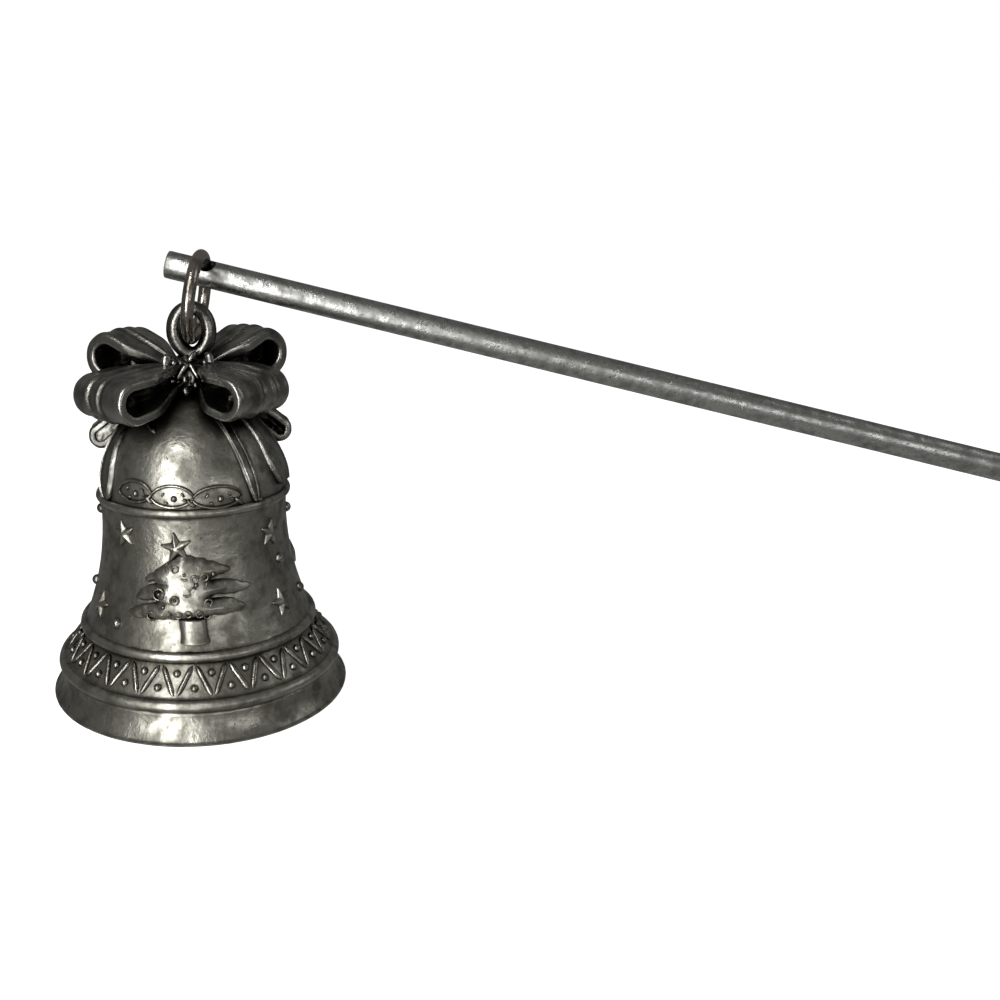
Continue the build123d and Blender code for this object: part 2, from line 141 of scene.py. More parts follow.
def set_piece(name, points, faces, finish, body, slot, *nodes, place=bell_place, crease=50.0):
    mesh = bpy.data.meshes.new(name)
    mesh.from_pydata([place @ Vector(p) for p in points], [], faces)
    form = bmesh.new()
    form.from_mesh(mesh)
    bmesh.ops.remove_doubles(form, verts=form.verts, dist=0.0000002)
    bmesh.ops.recalc_face_normals(form, faces=form.faces)
    form.to_mesh(mesh)
    form.free()
    mesh.polygons.foreach_set("use_smooth", [True] * len(mesh.polygons))
    mesh.set_sharp_from_angle(angle=radians(crease))
    piece = bpy.data.objects.new(name, mesh)
    bpy.context.scene.collection.objects.link(piece)
    mesh.materials.append(finish)
    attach(piece, body)
    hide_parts(*nodes)
    return piece


skirt_line = [(wall(0.35 + 0.14 * k), 0.35 + 0.14 * k) for k in range(21)]
flare_line = [(wall(9.32 + 0.2 * k), 9.32 + 0.2 * k) for k in range(72)]
rises = [pi / 2 * k / 70 for k in range(71)]
dome_line = [(dome_round * cos(t), dome_middle.z + dome_round * sin(t)) for t in rises]
core_round = 9.2
falls = [pi / 2 * (40 - k) / 40 for k in range(41)]
core_line = [(core_round * cos(t), dome_middle.z + core_round * sin(t)) for t in falls]
# Down the inside of the wall, then under the rim, then up the outside to the dome
bell_outline = core_line + [(9.24, 22.0), (9.3, 20.0), (9.6, 17.2), (10.05, 14.8), (10.9, 11.2)]
bell_outline += [(12.0, 8.0), (13.4, 6.2), (15.05, 4.1), (15.2, 3.9), (15.2, 2.0), (15.2, 0.15)]
bell_outline += [(15.35, 0.0), (16.6, 0.0)]
bell_outline += bead(17.76, 0.22, 0.22, -90, 8, 6) + skirt_line
bell_outline += [(16.55, 3.32), (16.15, 3.36)] + bead(16.44, 4.1, 0.72, -108, 84)
bell_outline += [(16.42, 4.78), (16.2, 4.84)]
bell_outline += [(16.2 - 2.5 * k / 14, 4.84 + 3.12 * k / 14) for k in range(1, 14)]
bell_outline += [(13.66, 7.98)] + bead(13.7, 8.6, 0.6, -86, 92) + [(13.6, 9.2)] + flare_line
bell_outline += bead(10.95, 24.2, 0.5, -80, 82) + [(10.92, 24.68)] + dome_line[1:]
bell_points, bell_faces = spin(bell_outline, 300)


def wandered(point):
    """Hand-finished ground is never quite true: the wall wanders by a few hundredths."""
    x, y, z = point
    spot = Vector(point)
    sway = 0.0016 * noise.noise(spot * 0.22) + 0.0007 * noise.noise(spot * 0.9)
    return x * (1 + sway), y * (1 + sway), z


bell_points = [wandered(point) for point in bell_points]
bell_metal = rubbed_metal_with_painted_shade(
    "blackened_pewter", (0.45, 0.44, 0.385), (0.034, 0.03, 0.02), 0.34, 2.4, 0.16, 0.1, 2.0)
set_piece("bell_casting", bell_points, bell_faces, bell_metal, "bell", "bell_metal", "bell_shell")


# Zigzag: forty-eight thin raised bars set in Vs round the sloping band between lip and shoulder.
# They are cast with the bell, soft on top from rubbing, with black patina and painted shade along both
# sides.
band_foot, band_head = Vector((16.26, 0, 4.82)), Vector((13.7, 0, 8.0))
band_out = Vector((0.779, 0, 0.627))
bar_half_width, bar_height, bar_ends, zigzag_turn = 0.33, 0.3, 0.086, 4.0


def facing(point, degrees):
    return Matrix.Rotation(radians(degrees), 3, "Z") @ Vector(point)


def on_band(share, degrees, rise=0.0):
    spot = band_foot.lerp(band_head, share) + band_out * rise
    return facing((0, -spot.x, spot.z), degrees)


def skin(rings, path_closed=False):
    """Faces over a run of rings that all have the same number of points."""
    count, points, faces = len(rings[0]), [p for ring in rings for p in ring], []
    for k in range(len(rings) if path_closed else len(rings) - 1):
        here, there = k * count, (k + 1) % len(rings) * count
        for j in range(count):
            n = (j + 1) % count
            faces.append((here + j, here + n, there + n, there + j))
    if not path_closed:
        faces += [tuple(range(count)), tuple(reversed(range(len(points) - count, len(points))))]
    return points, faces


class Cluster:
    """Many small forms gathered in one piece."""

    def __init__(self):
        self.points, self.faces = [], []

    def add(self, made):
        start = len(self.points)
        self.points += made[0]
        self.faces += [tuple(start + k for k in face) for face in made[1]]


def ridge(start, end, out, half_width, height, steps=8, blunt=6):
    """A soft bar lying on a surface, tapered at both ends."""
    along = end - start
    across = along.cross(out).normalized()
    rings = []
    for k in range(steps + 1):
        share = k / steps
        size = sqrt(max(1 - abs(2 * share - 1) ** blunt, 0.02))
        spot = start + along * share
        ring = [spot + across * (half_width * size * cos(t)) + out * (height * size * sin(t))
                for t in (pi * j / 8 for j in range(9))]
        rings.append(ring + [spot - across * half_width * size * 0.8 - out * 0.25,
                             spot + across * half_width * size * 0.8 - out * 0.25])
    return skin(rings)


relief_metal = rubbed_metal_with_painted_shade(
    "rubbed_relief", (0.33, 0.322, 0.285), (0.022, 0.019, 0.013), 0.25, 2.0, 0.14, 0.08, 1.3)
zigzag = Cluster()
for k in range(24):
    for lean in (1, -1):
        turn = zigzag_turn + 15.0 * k
        foot, head = on_band(bar_ends, turn + lean * 0.8), on_band(1 - bar_ends, turn + lean * 6.75)
        out = facing((0, -band_out.x, band_out.z), turn + lean * 3.75)
        zigzag.add(ridge(foot, head, out, bar_half_width, bar_height))
set_piece("zigzag", zigzag.points, zigzag.faces, relief_metal, "bell", "relief_metal", "zigzag_bars")


# Dots: one half-round bead in each triangle of the zigzag, in two rows.
# They are part of the casting.
dot_round = 0.44


def button(spot, out, radius, sides=16):
    """A half-round bead on a surface, its foot let in a little."""
    across = out.orthogonal().normalized()
    other = out.cross(across)
    outline = [(1.0, -0.5), (1.04, -0.05), (1.0, 0.16), (0.93, 0.4),
               (0.8, 0.62), (0.6, 0.81), (0.34, 0.94), (0.1, 0.99)]
    rings = [[spot + out * (radius * h) + (across * cos(t) + other * sin(t)) * (radius * r)
              for t in (2 * pi * j / sides for j in range(sides))] for r, h in outline]
    return skin(rings)


dots = Cluster()
for k in range(24):
    for share, turn in ((0.3, zigzag_turn + 15.0 * k + 7.5), (0.7, zigzag_turn + 15.0 * k)):
        dots.add(button(on_band(share, turn), facing((0, -band_out.x, band_out.z), turn), dot_round))
set_piece("zigzag_dot_row", dots.points, dots.faces, relief_metal, "bell", "relief_metal", "zigzag_dots")


# Fir trees: two low-relief trees, front and back, leaning a little, each with three pairs of drooping
# boughs, pockets between them and a stout trunk. They are cast with the bell and die out at the tips.
tree_turns = (-6.0, 174.0)
bough_outline = (
    (-0.62, 19.8), (0.8, 19.5), (2.8, 18.85), (4.75, 17.8), (4.5, 17.3), (3.5, 17.1), (2.6, 16.8),
    (3.9, 16.85), (5.6, 16.3), (6.95, 15.6), (6.6, 14.95), (5.0, 14.65), (3.6, 14.95), (2.7, 14.8),
    (4.0, 14.8), (5.4, 14.2), (6.6, 13.4), (5.6, 12.85), (3.9, 12.72), (2.5, 12.75), (0.5, 12.5),
    (-1.2, 12.48), (-3.5, 12.36), (-6.2, 12.36), (-6.95, 12.95), (-5.7, 13.75), (-4.4, 14.25),
    (-3.6, 14.4), (-4.6, 14.12), (-5.6, 14.15), (-6.2, 14.5), (-5.4, 15.4), (-4.4, 16.15),
    (-3.6, 16.45), (-4.4, 16.25), (-5.0, 16.7), (-3.4, 18.0), (-1.9, 19.0))
trunk_middle, trunk_half, trunk_foot, trunk_head = 0.62, 1.5, 10.05, 12.7


def eased(value, low, high):
    share = min(max((value - low) / (high - low), 0.0), 1.0)
    return share * share * (3 - 2 * share)


def inside_by(x, z, outline):
    """How far a flat point lies inside an outline, negative outside it."""
    nearest, inside = 99.0, False
    for (x0, z0), (x1, z1) in zip(outline, outline[1:] + outline[:1]):
        run_x, run_z = x1 - x0, z1 - z0
        share = ((x - x0) * run_x + (z - z0) * run_z) / (run_x * run_x + run_z * run_z)
        share = min(max(share, 0.0), 1.0)
        nearest = min(nearest, hypot(x - x0 - share * run_x, z - z0 - share * run_z))
        if (z0 > z) != (z1 > z) and x < x0 + (z - z0) / run_z * run_x:
            inside = not inside
    return nearest if inside else -nearest


def bough_height(x, z):
    height = -0.2
    depth = inside_by(x, z, bough_outline) + 0.14 * noise.noise(Vector((x * 1.5, z * 1.9, 3.0))) - 0.07
    if depth > 0:
        tuft = 0.07 * noise.noise(Vector((x * 0.8, z * 1.4, 7.0)))
        height = 0.1 + (0.9 + tuft) * (1 - exp(-depth / 0.5)) * (1 - 0.62 * eased(abs(x - 0.2), 2.0, 5.6))
        # A faint fold under each tier runs in from the pockets and dies out in the middle
        for fold in (16.5, 14.55):
            height -= 0.16 * exp(-((z - fold - 0.06 * x) / 0.16) ** 2) * eased(abs(x - 0.2), 1.2, 3.2)
    if trunk_foot < z < trunk_head:
        half = trunk_half + 0.15 * eased(trunk_foot + 0.8 - z, 0.0, 0.8)
        side = (x - trunk_middle - 0.12 * (trunk_foot + 1.3 - z)) / half
        if abs(side) < 1:
            trunk = (0.8 * sqrt(1 - side * side) + 0.05) * eased(z - trunk_foot, -0.02, 0.16)
            height = max(height, trunk)
    return height


def on_wall(x, z, rise, degrees=0.0):
    turn = asin(x / wall(z))
    return facing(((wall(z) + rise) * sin(turn), -(wall(z) + rise) * cos(turn), z), degrees)


def relief(height_at, left, right, low, high, pitch):
    """A closed low relief on the body's wall, wherever the height is above the ground."""
    columns, rows = int((right - left) / pitch) + 1, int((high - low) / pitch) + 1
    spots = [(left + pitch * i, low + pitch * j) for j in range(rows) for i in range(columns)]
    heights = [height_at(x, z) for x, z in spots]
    cells = []
    for j in range(rows - 1):
        for i in range(columns - 1):
            corner = j * columns + i
            cell = (corner, corner + 1, corner + columns + 1, corner + columns)
            if max(heights[c] for c in cell) > 0:
                cells.append(cell)
    used = sorted({c for cell in cells for c in cell})
    order = {c: k for k, c in enumerate(used)}
    front = [on_wall(spots[c][0], spots[c][1], heights[c]) for c in used]
    rear = [on_wall(spots[c][0], spots[c][1], -0.4) for c in used]
    faces, sides = [], {}
    for cell in cells:
        near = [order[c] for c in cell]
        faces += [tuple(near), tuple(len(used) + k for k in reversed(near))]
        for a, b in zip(near, near[1:] + near[:1]):
            if (b, a) in sides:
                del sides[(b, a)]
            else:
                sides[(a, b)] = True
    faces += [(b, a, len(used) + a, len(used) + b) for a, b in sides]
    return front + rear, faces


tree_form = relief(bough_height, -7.3, 7.3, 9.8, 20.2, 0.1)
trees = Cluster()
for turn in tree_turns:
    trees.add(([facing(p, turn) for p in tree_form[0]], tree_form[1]))
# The pockets under the boughs are darkened in colour as black patina and painted shade.
set_piece("fir_trees", trees.points, trees.faces, bell_metal, "bell", "relief_metal",
          "tree_boughs", "tree_trunks", crease=80.0)


# Stars: five-pointed, ridged from the middle to each point, one on top of each tree and nine loose ones.
# They are cast on the body, the ridges rubbed bright and the valleys left black, as patina and painted
# shade.
star_reach, star_waist, star_peak, star_edge = 1.7, 0.44, 0.66, 0.14


def star_on_wall(turn, level, reach, tilt, peak):
    """A ridged star bent to the wall, as a small closed form."""
    middle = on_wall(0, level, peak)
    rim, base = [], []
    for k in range(10):
        angle = radians(tilt) + pi * k / 5
        out = reach if k % 2 == 0 else reach * star_waist
        x, z = out * sin(angle), level + out * cos(angle)
        rim.append(on_wall(x, z, peak * (0.42 if k % 2 == 0 else 0.12)))
        base.append(on_wall(x, z, -0.35))
    points = [facing(p, turn) for p in [middle] + rim + base + [on_wall(0, level, -0.4)]]
    faces = []
    for k in range(10):
        n = (k + 1) % 10
        faces += [(0, 1 + k, 1 + n), (1 + k, 11 + k, 11 + n, 1 + n), (21, 11 + n, 11 + k)]
    return points, faces


def soften(piece, width):
    rounding = piece.modifiers.new("soft_edges", "BEVEL")
    rounding.width, rounding.segments, rounding.limit_method = width * 0.001, 2, "ANGLE"
    rounding.angle_limit = radians(20)


topper_shift, topper_level, topper_reach, topper_tilt, topper_peak = -5.6, 20.36, 1.86, -9.0, 0.85
toppers = Cluster()
for turn in tree_turns:
    toppers.add(star_on_wall(turn + topper_shift, topper_level, topper_reach, topper_tilt, topper_peak))
soften(set_piece("tree_stars", toppers.points, toppers.faces, bell_metal, "bell", "relief_metal",
                 "tree_toppers", crease=180.0), star_edge)
# Each loose star: its turn round the bell, its level and how far it is tilted
star_places = ((-46, 21.3, -14), (49.5, 20.44, 12), (-64, 12.4, 10), (49.5, 12.4, -8), (98, 15.29, 6),
               (134, 21.3, -14), (229.5, 20.44, 12), (116, 12.4, 10), (229.5, 12.4, -8))
stars = Cluster()
for turn, level, tilt in star_places:
    stars.add(star_on_wall(turn, level, star_reach, tilt, star_peak))
soften(set_piece("loose_stars", stars.points, stars.faces, bell_metal, "bell", "relief_metal",
                 "star_studs", crease=180.0), star_edge)


# Baubles: small hoops, beads and curls scattered over the boughs of each tree.
# They are cast with the tree, thin and left dark against its bright middle.
def hoop(spot, out, radius, wire, sides=18, around=8):
    across = out.orthogonal().normalized()
    other = out.cross(across)
    rings = []
    for k in range(sides):
        spoke = across * cos(2 * pi * k / sides) + other * sin(2 * pi * k / sides)
        rings.append([spot + spoke * (radius + wire * cos(t)) + out * (wire * sin(t))
                      for t in (2 * pi * j / around for j in range(around))])
    return skin(rings, path_closed=True)


def curl(turn, line, wire):
    """A short round wire laid over the boughs through flat (x, z) points."""
    rings = []
    for k, (x, z) in enumerate(line):
        spot = on_wall(x, z, max(bough_height(x, z), 0.2) + 0.02, turn)
        (x0, z0), (x1, z1) = line[max(k - 1, 0)], line[min(k + 1, len(line) - 1)]
        out = facing((x, -sqrt(wall(z) ** 2 - x * x), 0), turn).normalized()
        across = (on_wall(x1, z1, 0.0, turn) - on_wall(x0, z0, 0.0, turn)).cross(out).normalized()
        size = wire * sqrt(max(1 - (2 * k / (len(line) - 1) - 1) ** 4, 0.08))
        rings.append([spot + across * (size * cos(t)) + out * (size * sin(t))
                      for t in (2 * pi * j / 10 for j in range(10))])
    return skin(rings)


# Each hoop: its place on the tree, its radius and the thickness of its wire
hoops = ((-1.11, 18.2, 0.36, 0.12), (0.84, 17.15, 0.36, 0.12), (1.82, 17.3, 0.4, 0.12),
         (-2.9, 15.4, 0.66, 0.14), (-1.24, 14.84, 0.46, 0.13), (2.19, 14.45, 0.4, 0.12),
         (-0.93, 13.25, 0.34, 0.11), (0.11, 13.36, 0.34, 0.11), (1.27, 13.3, 0.36, 0.11),
         (2.06, 12.98, 0.34, 0.11), (-3.95, 12.9, 0.46, 0.12))
# Each small bead: its place on the tree and its radius
small_beads = ((2.75, 17.5, 0.3), (0.96, 16.5, 0.28), (-2.46, 14.07, 0.24), (-0.19, 17.65, 0.2),
               (-2.9, 15.4, 0.26), (-1.24, 14.84, 0.2))
# Each curl: its middle, its radius, where its arc starts and how far it runs
curls = ((-1.85, 18.45, 0.3, 40, 220), (0.0, 15.75, 0.42, 200, 150), (0.62, 15.9, 0.34, 20, 190),
         (-1.97, 13.35, 0.3, 250, 200), (1.72, 16.5, 0.32, 300, 170), (-0.2, 17.35, 0.3, 180, 160))
curl_wire = 0.12
baubles = Cluster()
for turn in tree_turns:
    for x, z, radius, wire in hoops:
        out = facing((x, -sqrt(wall(z) ** 2 - x * x), 0), turn).normalized()
        baubles.add(hoop(on_wall(x, z, max(bough_height(x, z), 0.3) + 0.02, turn), out, radius, wire))
    for x, z, radius in small_beads:
        out = facing((x, -sqrt(wall(z) ** 2 - x * x), 0), turn).normalized()
        baubles.add(button(on_wall(x, z, max(bough_height(x, z), 0.2), turn), out, radius, 12))
    for x, z, radius, start, sweep in curls:
        arc = [radians(start + sweep * k / 10) for k in range(11)]
        baubles.add(curl(turn, [(x + radius * cos(t), z + radius * sin(t)) for t in arc], curl_wire))
bauble_metal = rubbed_metal_with_painted_shade(
    "dark_hoops", (0.2, 0.195, 0.17), (0.02, 0.018, 0.013), 0.3, 1.6, 0.14, 0.08, 0.9)
set_piece("tree_hoops_and_beads", baubles.points, baubles.faces, bauble_metal, "bell", "relief_metal",
          "tree_baubles")


# Beads: nine round studs scattered over the body between the trees and stars.
# They are cast on, and stand out from the wall by more than half their height.
stud_round, stud_rise = 0.62, -0.05
# Each bead: its turn round the bell and its level
stud_places = ((-88, 22.38), (85, 21.66), (-86, 13.67), (-46.5, 11.13), (56.5, 17.06), (75, 12.22),
               (133.5, 11.13), (236.5, 17.06), (255, 12.22))
studs = Cluster()
for turn, level in stud_places:
    slope = (wall(level + 0.3) - wall(level - 0.3)) / 0.6
    out = facing(Vector((0, -1, -slope)).normalized(), turn)
    studs.add(button(on_wall(0, level, stud_rise, turn), out, stud_round))
set_piece("body_beads", studs.points, studs.faces, relief_metal, "bell", "relief_metal", "bead_studs")


# Pointed ovals: a chain of raised leaf-shaped outlines round the foot of the dome, each with a bead and
# small strokes inside, and short slanted leaves under the joints. They are cast on, with black patina
# and painted shade beside them.
oval_tall, oval_low, rim_half, rim_height = 1.25, 1.05, 0.2, 0.34
# Each oval: its turn, its half width and its level; the chain sinks to the right, the third is longer
ovals = [(-37.1, 2.2, 26.3), (-13.0, 2.32, 25.98), (13.6, 2.75, 25.75)]
ovals += [(151.5 + 25.0 * k, 2.3, 26.1) for k in (-1.5, -0.5, 0.5, 1.5)]


def on_dome(x, z, rise, degrees=0.0):
    y = -sqrt(max(dome_round ** 2 - (z - dome_middle.z) ** 2 - x * x, 0.0))
    out = (Vector((x, y, z)) - dome_middle).normalized()
    return facing(dome_middle + out * (dome_round + rise), degrees)


def dome_wire(line, turn, half_width, height):
    """A soft raised line drawn on the dome through flat (x, z) points."""
    rings = []
    for k, (x, z) in enumerate(line):
        before, after = line[max(k - 1, 0)], line[min(k + 1, len(line) - 1)]
        spot = on_dome(x, z, 0.0, turn)
        out = (spot - dome_middle).normalized()
        across = (on_dome(*after, 0.0, turn) - on_dome(*before, 0.0, turn)).cross(out).normalized()
        size = sqrt(max(1 - (2 * k / (len(line) - 1) - 1) ** 4, 0.06))
        ring = [spot + across * (half_width * size * cos(t)) + out * (height * size * sin(t))
                for t in (pi * j / 8 for j in range(9))]
        root = across * half_width * 0.7 * size
        rings.append(ring + [spot - root - out * 0.2, spot + root - out * 0.2])
    return skin(rings)


# Each stroke in an oval and each leaf under it: its start across (share of the half width) and up,
# its run across and up, its half width and its height
strokes = ((-0.5, 0.1, 0.35, 0.45, 0.14, 0.24), (0.42, 0.5, 0.4, -0.4, 0.14, 0.24),
           (0.5, -0.3, 0.45, 0.12, 0.14, 0.24), (-0.35, -0.45, 0.4, -0.2, 0.14, 0.24),
           (0.68, -0.2, 0.95, -0.85, 0.28, 0.42), (-0.55, -0.75, -0.6, 0.1, 0.18, 0.3))
oval_bead_round = 0.36
shares = [k / 6 for k in range(7)]
chain, oval_beads = Cluster(), Cluster()
for turn, half, level in ovals:
    for tall in (oval_tall, -oval_low):
        arc = [pi * k / 24 for k in range(25)]
        line = [(-half * cos(t), level + tall * sin(t) ** 1.2) for t in arc]
        chain.add(dome_wire(line, turn, rim_half, rim_height))
    for x, z, run_x, run_z, half_width, height in strokes:
        line = [(half * x + run_x * s, level + z + run_z * s) for s in shares]
        chain.add(dome_wire(line, turn, half_width, height))
    spot = on_dome(0.1 * half, level - 0.12, 0.0, turn)
    oval_beads.add(button(spot, (spot - dome_middle).normalized(), oval_bead_round))
set_piece("dome_leaf_chain", chain.points, chain.faces, relief_metal, "bell", "relief_metal",
          "dome_ovals")
set_piece("dome_beads", oval_beads.points, oval_beads.faces, relief_metal, "bell", "relief_metal",
          "dome_dots")


# Ribbon ends: four loose ends of the bow that lie down the dome from under the loops.
# They are cast with the bow: narrow ribs along them rubbed bright, black patina and painted shade
# between, and they lift at the foot.
def ribbon_end(turn, drift, top_half, foot_half, tip_share, foot_deg, ribs, lift):
    steps, across_steps = 44, 36
    rings = []
    for k in range(steps + 1):
        share = k / steps
        level = radians(60 + (foot_deg - 60) * share)
        reach = max(dome_round * cos(level), 2.0)
        half = top_half + (foot_half - top_half) * eased(share, 0.0, 0.8)
        half *= 1 - (1 - tip_share) * max((share - 0.72) / 0.28, 0.0) ** 2
        raised = lift * eased(share, 0.6, 1.0)
        ring_top, ring_under = [], []
        for j in range(across_steps + 1):
            s = 2 * j / across_steps - 1
            rib = sum(tall * exp(-((s - at) / 0.08) ** 2) for at, tall in ribs)
            up = (0.3 + rib - 0.08 * (1 - s * s)) * sqrt(max(1 - abs(s) ** 10, 0.0))
            up = up * (0.35 + 0.65 * eased(share, 0.0, 0.08)) + raised
            slide = s * half / reach * 180 / pi + drift * (share - 0.6)
            for shelf, rise in ((ring_top, up), (ring_under, 0.7 * raised - 0.12)):
                out = dome_round + rise
                spot = (0, -out * cos(level), dome_middle.z + out * sin(level))
                shelf.append(facing(spot, turn + slide))
        rings.append(ring_top + list(reversed(ring_under)))
    return skin(rings)


# The bow's metal darkens hollows over a wide reach, so the loop hollows go black: patina and painted
# shade.
ribbon_metal = rubbed_metal_with_painted_shade(
    "rubbed_bow", (0.35, 0.343, 0.31), (0.012, 0.011, 0.009), 0.27, 2.6, 0.15, 0.08, 3.4)
# Each end: its turn, how far it drifts to the right on its way down, its half widths, the share of
# width left at its tip, where it ends above the collar in degrees, its ribs (place across, height)
# and how far the foot lifts
for name, turn, drift, top_half, foot_half, tip_share, foot_deg, ribs, lift in (
        ("front_left", -68.0, 15.0, 1.0, 1.9, 0.4, 1.0, ((-0.8, 0.3), (0.76, 0.28)), 0.1),
        ("front_right", 34.5, 9.0, 0.78, 0.82, 0.5, 0.6, ((-0.6, 0.18), (0.62, 0.42)), 0.12),
        ("side_right", 68.0, 3.0, 1.7, 2.6, 0.6, 5.0, ((-0.88, 0.26), (-0.6, 0.12), (0.88, 0.2)), 0.25),
        ("rear", 215.0, 4.0, 1.5, 2.2, 0.8, 4.0, ((-0.84, 0.3), (0.0, 0.3), (0.84, 0.3)), 0.3)):
    end = Cluster()
    end.add(ribbon_end(turn, drift, top_half, foot_half, tip_share, foot_deg, ribs, lift))
    if name == "front_left":
        # A short tongue of the same ribbon shows under the left loop
        end.add(dome_wire([(-4.75 + 0.8 * s, 33.3 - 1.0 * s) for s in shares], 0.0, 0.36, 0.46))
    set_piece("bow_end_" + name, end.points, end.faces, ribbon_metal, "bell", "ribbon_metal",
              "ribbon_tail_" + name, crease=70.0)


# Bow loops: four wide loops crossed at the knot and two small drooping ones at the sides.
# Each is a thick ribbon bent back on itself, with round edges, ribs along it and a blind hollow:
# modelled in wax, cast in metal and fixed on the crown of the bell.
def ribbon_loop(turn, bend, bend_round, neck, neck_round, half_width, neck_half, thickness, ribs, crown,
                web=0.45):
    """The ribbon runs from the knot over the top, round the bend and back; a web closes it inside."""
    bend_in, neck_in = bend_round - thickness / 2, neck_round - thickness / 2
    run = Vector((bend[0] - neck[0], bend[1] - neck[1]))
    tilt, spread = atan2(run.y, run.x), acos((neck_in - bend_in) / run.length)
    legs = []
    for way in (1, -1):
        out = Vector((cos(tilt + way * spread), sin(tilt + way * spread)))
        start, finish = Vector(neck) + out * neck_in, Vector(bend) + out * bend_in
        legs.append([(start.lerp(finish, k / 16) + out * (crown * sin(pi * k / 16)), out)
                     for k in range(-3, 16)])
    turns = [tilt + spread - 2 * spread * k / 32 for k in range(33)]
    ways = [Vector((cos(t), sin(t))) for t in turns]
    round_end = [(Vector(bend) + out * bend_in, out) for out in ways]
    path = legs[0] + round_end + list(reversed(legs[1]))
    full_at, edge, corner, rings = bend[0] - bend_round, thickness / 2, 0.3 * thickness, []
    for number, (spot, out) in enumerate(path):
        half = neck_half + (half_width - neck_half) * eased(spot.x, neck[0] - 0.6, full_at + 0.4)
        wave = 0.07 * noise.noise(Vector((number * 0.16, turn, 0.0)))
        section_line = []
        for j in range(49):
            s = 2 * j / 48 - 1
            # Each rib is a sharp crease with a shallow trough beside it
            rib = sum(exp(-((s - at) / 0.05) ** 2) - 0.55 * exp(-((s - at - 0.13) / 0.06) ** 2)
                      for at in ribs)
            lip = exp(-((abs(s) - 0.93) / 0.07) ** 2)
            detail = (0.24 * rib + 0.1 * lip) * min(1.0, half / half_width + 0.3)
            rise = edge + wave + detail + crown * 0.8 * (1 - s * s)
            section_line.append((s * (half - corner), rise))
        bends = [pi * j / 8 for j in range(1, 5)]
        rounding = [(corner * sin(t), edge - corner + corner * cos(t)) for t in bends]
        end_line = rounding + [(x, -rise) for x, rise in reversed(rounding)]
        section_line += [(half - corner + x, rise + wave) for x, rise in end_line]
        section_line += [(-s * (half - corner), crown * 0.8 * (1 - s * s) - edge + wave)
                         for s in (2 * j / 16 - 1 for j in range(17))]
        section_line += [(corner - half - x, wave - rise) for x, rise in end_line]
        ring = []
        for x, rise in section_line:
            place = spot + out * rise
            ring.append(facing((x, -place.x, place.y), turn))
        rings.append(ring)
    made = Cluster()
    made.add(skin(rings))
    hollow = [spot for spot, out in path[3:-3]]
    centre = sum(hollow, Vector((0, 0))) / len(hollow)
    web_rings = []
    for side, sizes in ((1, (0.04, 0.2, 0.4, 0.6, 0.8, 1.0)), (-1, (1.0, 0.8, 0.6, 0.4, 0.2, 0.04))):
        for size in sizes:
            ring = []
            for spot in hollow:
                flat = centre.lerp(spot, size)
                swell = 0.45 if web < 1 else 0.12
                lump = swell * noise.noise(Vector((flat.x * 1.1, flat.y * 1.1, turn + side)))
                ring.append(facing((side * (web + lump), -flat.x, flat.y), turn))
            web_rings.append(ring)
    made.add(skin(web_rings))
    return made.points, made.faces


knot_middle = 37.5
neck, neck_round, neck_half, wide_crown = (2.4, knot_middle + 0.1), 1.5, 1.45, 0.15
# Each wide loop: its turn, reach, rise above the knot's middle, half width, bend radius and thickness
for name, turn, reach, level, half, bend_round, thickness in (
        ("front_left", -55.0, 12.4, -1.35, 4.9, 2.35, 1.0),
        ("front_right", 51.0, 10.7, -1.35, 4.9, 2.35, 1.0),
        ("rear_left", -125.0, 11.9, 2.1, 3.8, 2.85, 1.3),
        ("rear_right", 125.0, 11.9, 2.1, 3.8, 2.85, 1.3)):
    ribs = (-0.36, 0.12) if turn < 0 else (0.36, -0.2)
    bend = (reach - bend_round, knot_middle + level)
    loop = ribbon_loop(turn, bend, bend_round, neck, neck_round, half, neck_half, thickness, ribs,
                       wide_crown)
    set_piece("bow_wide_loop_" + name, loop[0], loop[1], ribbon_metal, "bell", "ribbon_metal",
              "bow_loop_" + name, crease=75.0)
# The small loops: the web stands near the rim at the left and deeper at the right
small_bend, small_bend_round, small_neck, small_neck_round = (10.3, 30.9), 1.35, (6.4, 34.1), 0.95
small_half, small_thickness, small_ribs, small_crown = 1.9, 0.8, (-0.1,), 0.12
for name, turn, web in (("left", -99.0, 1.7), ("right", 99.0, 0.7)):
    loop = ribbon_loop(turn, small_bend, small_bend_round, small_neck, small_neck_round, small_half,
                       small_half, small_thickness, small_ribs, small_crown, web)
    set_piece("bow_small_loop_" + name, loop[0], loop[1], ribbon_metal, "bell", "ribbon_metal",
              "bow_side_loop_" + name, crease=75.0)


# Knot: the gathered middle of the bow, crumpled folds of ribbon pinched together over the crown.
# It is part of the bow casting; its small sharp folds are the shiniest places on it.
knot_round, knot_tall = 2.45, 2.85
knot_rows, knot_sides = 48, 84
knot_points, knot_faces = [], []
for j in range(knot_rows + 1):
    lean = pi * j / knot_rows
    for k in range(knot_sides):
        turn = 2 * pi * k / knot_sides
        way = Vector((sin(lean) * sin(turn), -sin(lean) * cos(turn), cos(lean)))
        crumple = abs(noise.noise(way * 2.2)) - 0.5 * abs(noise.noise(way * 4.6))
        size = 0.9 + 0.22 * crumple
        knot_points.append((knot_round * size * way.x, knot_round * size * way.y,
                            knot_middle + knot_tall * size * way.z))
for j in range(knot_rows):
    for k in range(knot_sides):
        n, here, there = (k + 1) % knot_sides, j * knot_sides, (j + 1) * knot_sides
        knot_faces.append((here + k, here + n, there + n, there + k))
knot = Cluster()
knot.add((knot_points, knot_faces))
